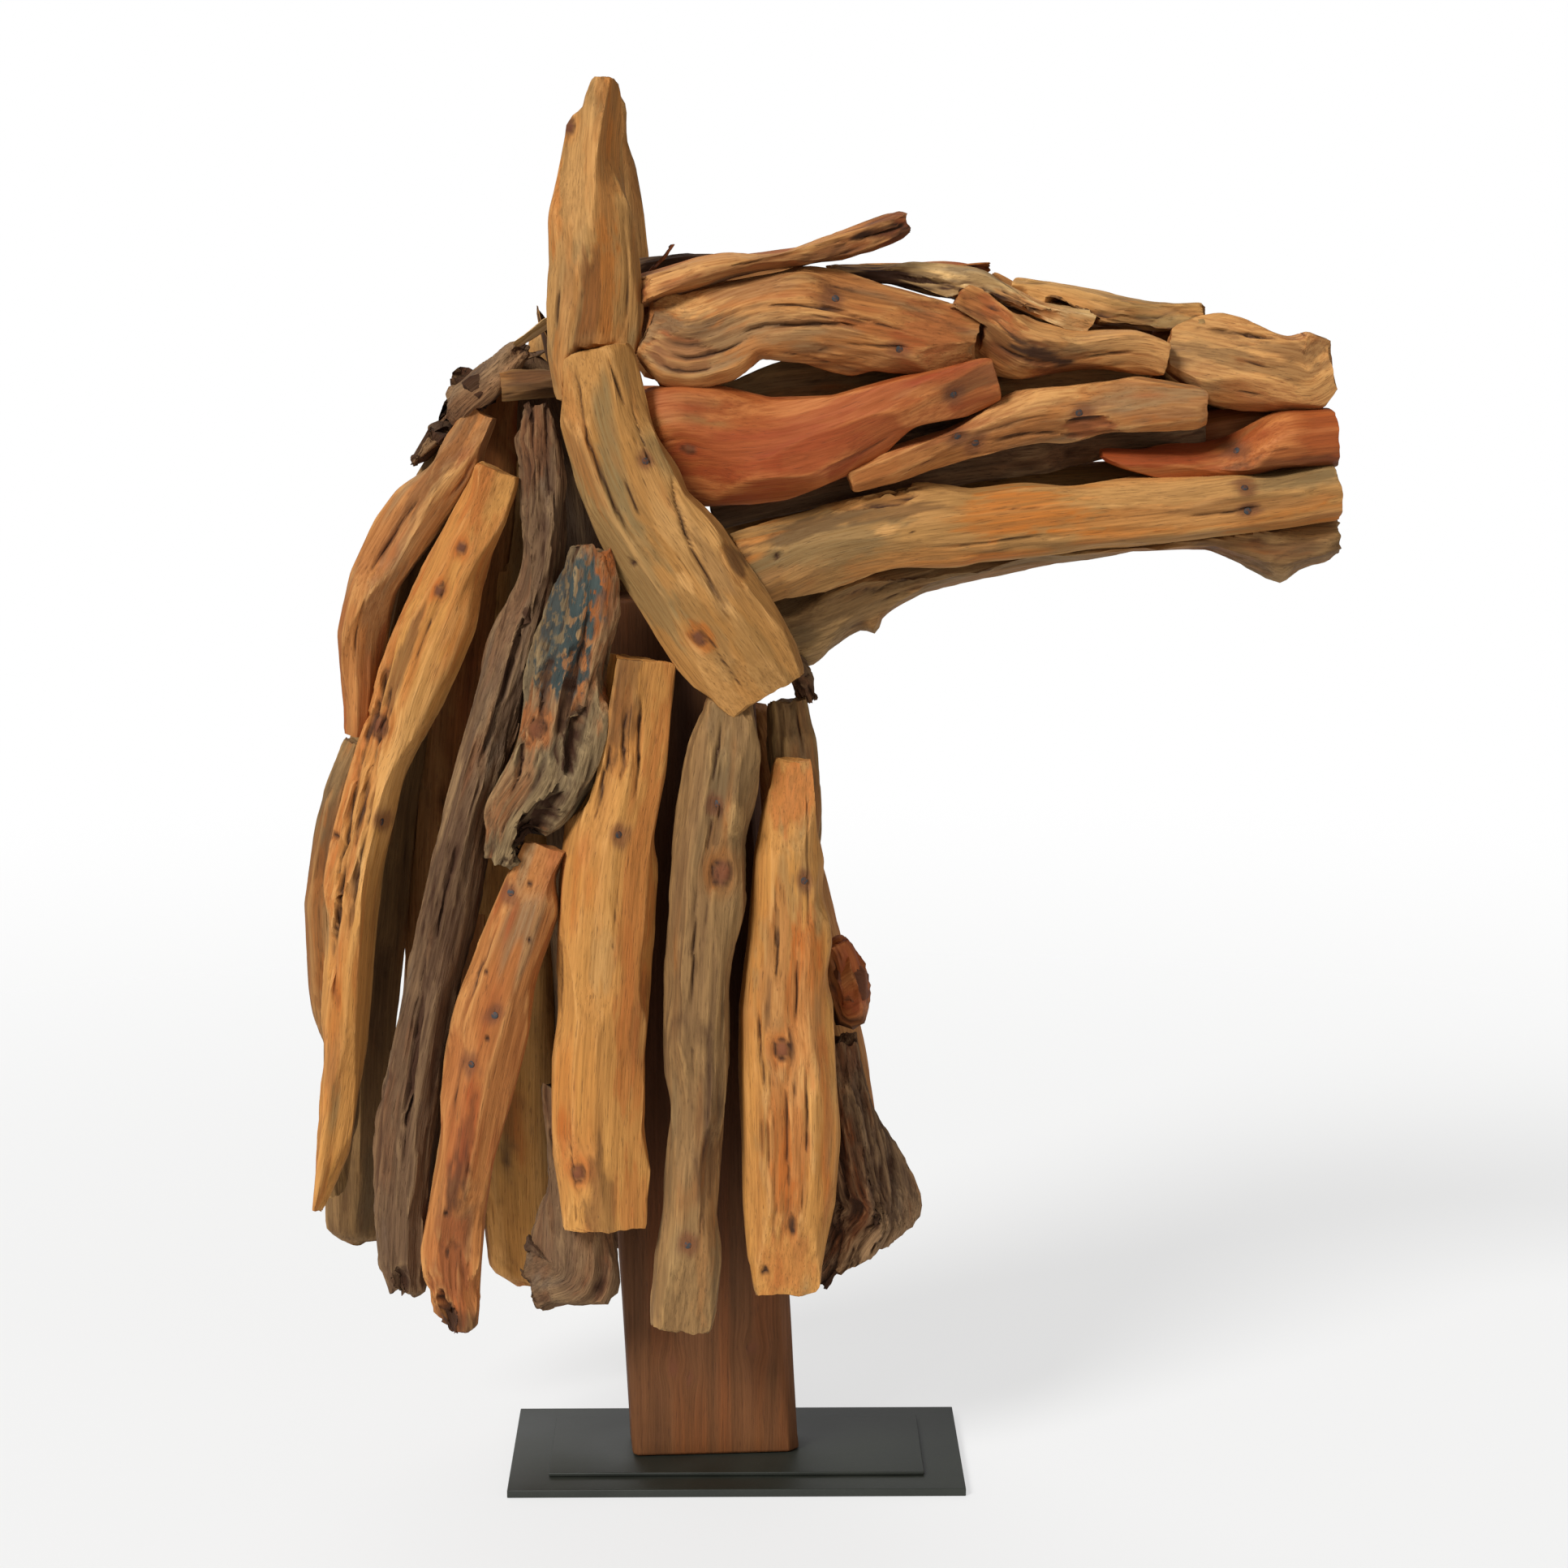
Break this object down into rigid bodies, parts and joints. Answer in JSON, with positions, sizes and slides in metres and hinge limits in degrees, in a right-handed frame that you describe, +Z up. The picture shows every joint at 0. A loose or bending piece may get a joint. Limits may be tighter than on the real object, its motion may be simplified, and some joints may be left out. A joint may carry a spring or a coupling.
{
  "type": "driftwood horse head sculpture",
  "caption": "Horse head and neck built from weathered driftwood sticks, nailed together on a squared wooden post that stands on a low black stepped metal base.",
  "frame": {"origin": "middle of the flat underside of the base plate, on the surface that the sculpture stands on", "axes": "+X the way the horse looks, along the base plate's length; +Z up; the near side of the horse, the one that shows in the source, faces -Y"},
  "size_m": [0.5412, 0.1872, 0.7369],
  "materials": {
    "wood_honey": "weathered driftwood, honey-coloured, hand hewn, dry and matt",
    "wood_golden": "golden driftwood, split and hewn, dry and matt with cracks and knots",
    "wood_orange": "orange-brown driftwood, hewn, dry and matt",
    "wood_red": "red-brown driftwood with a fine figured grain, dry, slightly smooth",
    "wood_tan": "tan driftwood, weathered, matt",
    "wood_grey": "grey-tan weathered driftwood, matt, worn by water",
    "wood_rough": "grey-brown rough split driftwood, deeply weathered",
    "wood_bark": "dark furrowed driftwood with its bark, very rough",
    "wood_pale": "pale fresh driftwood, split, matt",
    "wood_painted": "weathered driftwood with the remains of old blue-grey paint",
    "post_wood": "red-brown squared post, planed, with dark knots",
    "base_metal": "charcoal-black painted steel, satin, scuffed"
  },
  "bodies": {
    "root": {"base_plate": "base_metal", "base_pad": "base_metal", "post": "post_wood", "temple_strap": "wood_honey", "ear": "wood_tan", "forelock_plank": "wood_orange", "brow": "wood_orange", "cheek": "wood_red", "nose_side": "wood_orange", "mid_cheek": "wood_orange", "muzzle_top": "wood_orange", "upper_lip": "wood_red", "jaw": "wood_tan", "stave_painted": "wood_painted", "stave_short": "wood_orange", "stave_straight": "wood_golden", "stave_long": "wood_grey", "stave_front": "wood_golden", "stave_big": "wood_golden", "stave_rough": "wood_rough", "stave_behind": "wood_rough", "throat_stave": "wood_grey", "throat_knob": "wood_rough", "throat_block": "wood_red", "bark_flare": "wood_bark", "nape_stave": "wood_orange", "nape_slab": "wood_grey", "far_temple_strap": "wood_honey", "far_ear": "wood_tan", "far_forelock_plank": "wood_orange", "far_brow": "wood_orange", "far_cheek": "wood_red", "far_nose_side": "wood_orange", "far_mid_cheek": "wood_orange", "far_muzzle_top": "wood_orange", "far_upper_lip": "wood_red", "far_jaw": "wood_tan", "forehead_plank": "wood_pale", "nose_top_plank": "wood_honey", "ridge_strip": "wood_orange", "poll_board": "wood_bark", "poll_splinter": "wood_red", "poll_log": "wood_grey", "poll_strip": "wood_pale", "poll_spike": "wood_honey", "crest_bark": "wood_bark", "crest_chip": "wood_rough", "under_jaw": "wood_grey", "eye_board": "wood_grey", "jaw_board": "wood_rough", "far_stave_1": "wood_grey", "far_stave_2": "wood_orange", "far_stave_3": "wood_golden", "far_stave_4": "wood_rough", "far_stave_5": "wood_honey", "far_stave_6": "wood_grey", "far_stave_7": "wood_orange"}
  },
  "joints": []
}
